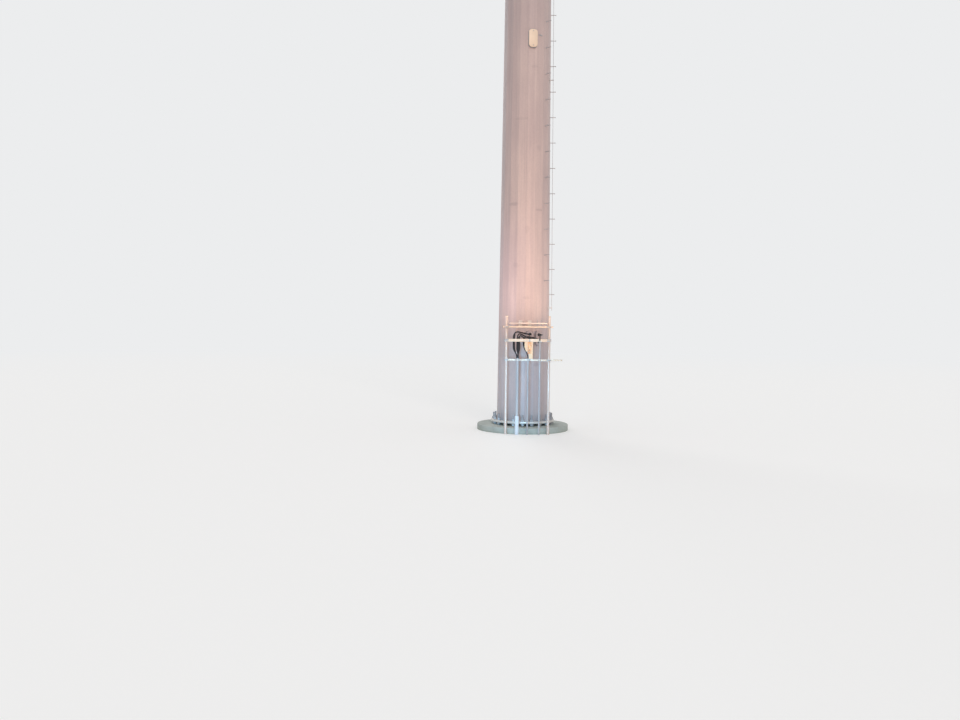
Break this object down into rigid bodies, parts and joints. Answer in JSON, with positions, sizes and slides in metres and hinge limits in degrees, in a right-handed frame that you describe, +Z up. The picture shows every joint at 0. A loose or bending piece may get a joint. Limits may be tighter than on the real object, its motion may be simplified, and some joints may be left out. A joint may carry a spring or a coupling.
{
  "type": "monopole cell tower, 1:2 scale model",
  "caption": "Tapered many-sided steel monopole on a round concrete pier, with step bolts, a cable frame at its foot and a three-sided antenna platform at its top.",
  "frame": {"origin": "middle of the round concrete pier's flat underside, at ground level", "axes": "+Z up along the shaft; the cable frame and its risers stand on the -Y side; +X to the right seen from there"},
  "size_m": [2.2008, 1.9268, 29.908],
  "materials": {
    "shaft_galvanising": "weathered hot-dip galvanising with soft streaks, matt",
    "galvanised_steel": "hot-dip galvanised, satin",
    "dull_galvanising": "dull hot-dip galvanised, rough",
    "bright_cover": "fresh pale zinc finish, satin",
    "pier_concrete": "trowelled pale concrete",
    "black_rubber": "matt black rubber",
    "black_jacket": "smooth black cable jacket",
    "white_pvc": "white plastic pipe, satin",
    "copper": "dull copper",
    "wire_rope": "galvanised wire rope",
    "radome": "pale grey moulded fibreglass",
    "painted_housing": "pale grey powder coat"
  },
  "bodies": {
    "root": {"concrete_pier": "pier_concrete", "base_plate": "dull_galvanising", "anchor_bolts": "dull_galvanising", "levelling_nuts": "dull_galvanising", "anchor_nuts": "dull_galvanising", "shaft_section_1": "shaft_galvanising", "shaft_section_2": "shaft_galvanising", "shaft_section_3": "shaft_galvanising", "shaft_section_4": "shaft_galvanising", "jacking_lugs": "dull_galvanising", "port_rims": "galvanised_steel", "port_covers": "bright_cover", "entry_port_rims": "galvanised_steel", "entry_port_boots": "black_rubber", "step_bolts_1": "dull_galvanising", "step_bolts_2": "dull_galvanising", "step_bolts_3": "dull_galvanising", "step_bolts_4": "dull_galvanising", "safety_cable": "wire_rope", "cable_guides": "dull_galvanising", "top_cap": "galvanised_steel", "lightning_rod": "galvanised_steel", "bridge_posts": "galvanised_steel", "post_caps": "bright_cover", "cross_struts": "galvanised_steel", "bridge_deck": "galvanised_steel", "pole_brackets": "dull_galvanising", "hanger_rods": "dull_galvanising", "conduit_risers": "galvanised_steel", "ground_sleeve": "white_pvc", "riser_cables": "black_jacket", "ground_bar_brackets": "dull_galvanising", "ground_bar": "copper", "platform_collar": "galvanised_steel", "platform_arms": "galvanised_steel", "platform_frame": "galvanised_steel", "platform_grating": "galvanised_steel", "handrail": "galvanised_steel", "mast_pipes": "galvanised_steel", "antennas_a": "radome", "antennas_b": "radome", "antennas_c": "radome", "antenna_brackets": "dull_galvanising", "radios": "painted_housing", "surge_box": "painted_housing"}
  },
  "joints": []
}
